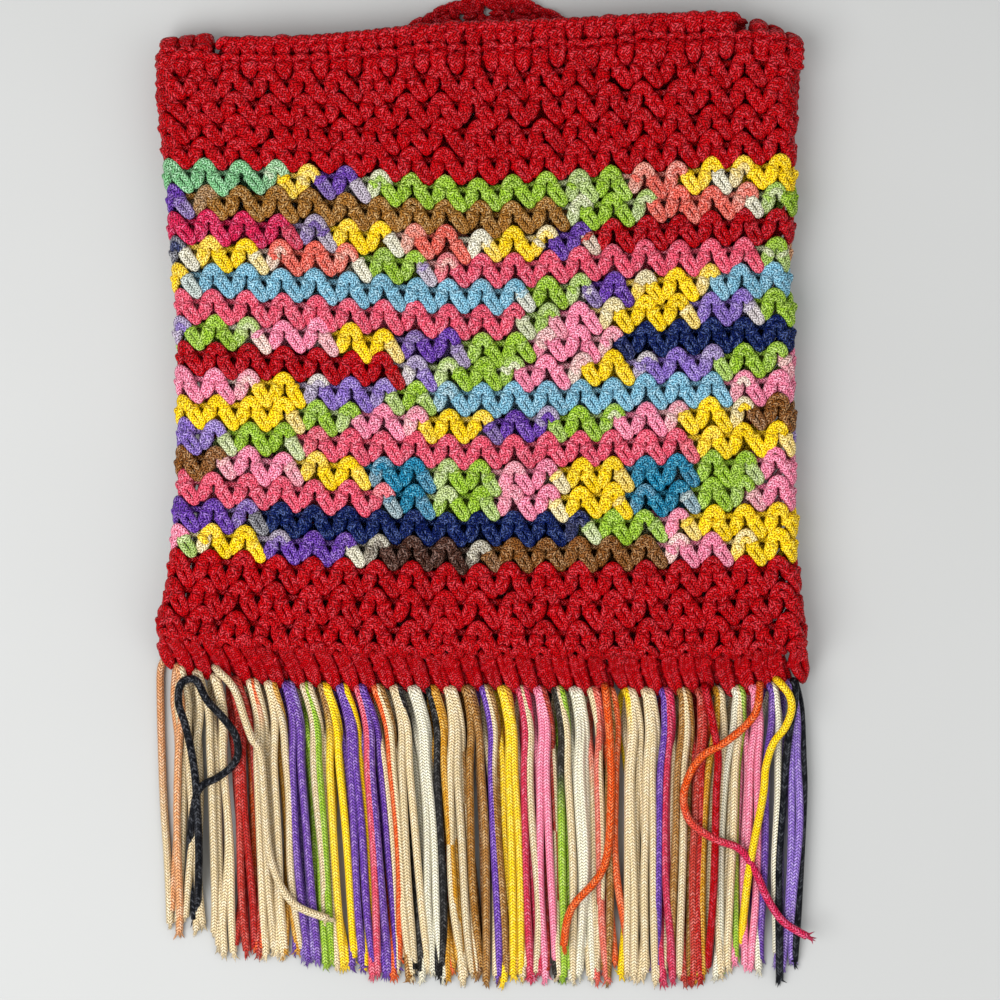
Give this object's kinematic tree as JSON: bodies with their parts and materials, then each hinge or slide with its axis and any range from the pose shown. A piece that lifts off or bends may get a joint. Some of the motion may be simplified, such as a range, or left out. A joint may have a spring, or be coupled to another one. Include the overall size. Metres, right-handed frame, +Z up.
{
  "type": "crocheted shoulder bag",
  "caption": "Flat crocheted shoulder bag lying on its back: red bands at mouth and hem, striped rounds between them, a strap folded behind and a cord fringe along the hem.",
  "frame": {"origin": "on the floor under the middle of the whole bag, fringe and strap included", "axes": "+X to the right across the bag's front, +Y from the hem to the mouth, +Z up from the floor through the back to the front"},
  "size_m": [0.2416, 0.3706, 0.0205],
  "materials": {
    "red_cord": "glossy knitted polyester cord",
    "striped_cord": "glossy knitted polyester cord, many colours in rounds",
    "fringe_peach": "glossy knitted polyester cord",
    "fringe_black": "glossy knitted polyester cord",
    "fringe_cream": "glossy knitted polyester cord",
    "fringe_red": "glossy knitted polyester cord",
    "fringe_orange": "glossy knitted polyester cord",
    "fringe_violet": "glossy knitted polyester cord",
    "fringe_lime": "glossy knitted polyester cord",
    "fringe_brown": "glossy knitted polyester cord",
    "fringe_rose": "glossy knitted polyester cord",
    "fringe_white": "glossy knitted polyester cord",
    "fringe_yellow": "glossy knitted polyester cord",
    "fringe_gold": "glossy knitted polyester cord"
  },
  "bodies": {
    "root": {"mouth_band": "red_cord", "striped_panel": "striped_cord", "hem_band": "red_cord", "shoulder_strap": "red_cord", "fringe_tassel_01": "fringe_peach", "fringe_tassel_02": "fringe_black", "fringe_tassel_03": "fringe_cream", "fringe_tassel_04": "fringe_red", "fringe_tassel_05": "fringe_orange", "fringe_tassel_06": "fringe_cream", "fringe_tassel_07": "fringe_violet", "fringe_tassel_08": "fringe_lime", "fringe_tassel_09": "fringe_brown", "fringe_tassel_10": "fringe_violet", "fringe_tassel_11": "fringe_rose", "fringe_tassel_12": "fringe_orange", "fringe_tassel_13": "fringe_cream", "fringe_tassel_14": "fringe_white", "fringe_tassel_15": "fringe_black", "fringe_tassel_16": "fringe_orange", "fringe_tassel_17": "fringe_brown", "fringe_tassel_18": "fringe_violet", "fringe_tassel_19": "fringe_yellow", "fringe_tassel_20": "fringe_cream", "fringe_tassel_21": "fringe_rose", "fringe_tassel_22": "fringe_black", "fringe_tassel_23": "fringe_white", "fringe_tassel_24": "fringe_cream", "fringe_tassel_25": "fringe_brown", "fringe_tassel_26": "fringe_yellow", "fringe_tassel_27": "fringe_cream", "fringe_tassel_28": "fringe_violet", "fringe_tassel_29": "fringe_cream", "fringe_tassel_30": "fringe_red", "fringe_tassel_31": "fringe_gold", "fringe_tassel_32": "fringe_white", "fringe_tassel_33": "fringe_orange", "fringe_tassel_34": "fringe_yellow", "fringe_tassel_35": "fringe_black"}
  },
  "joints": []
}
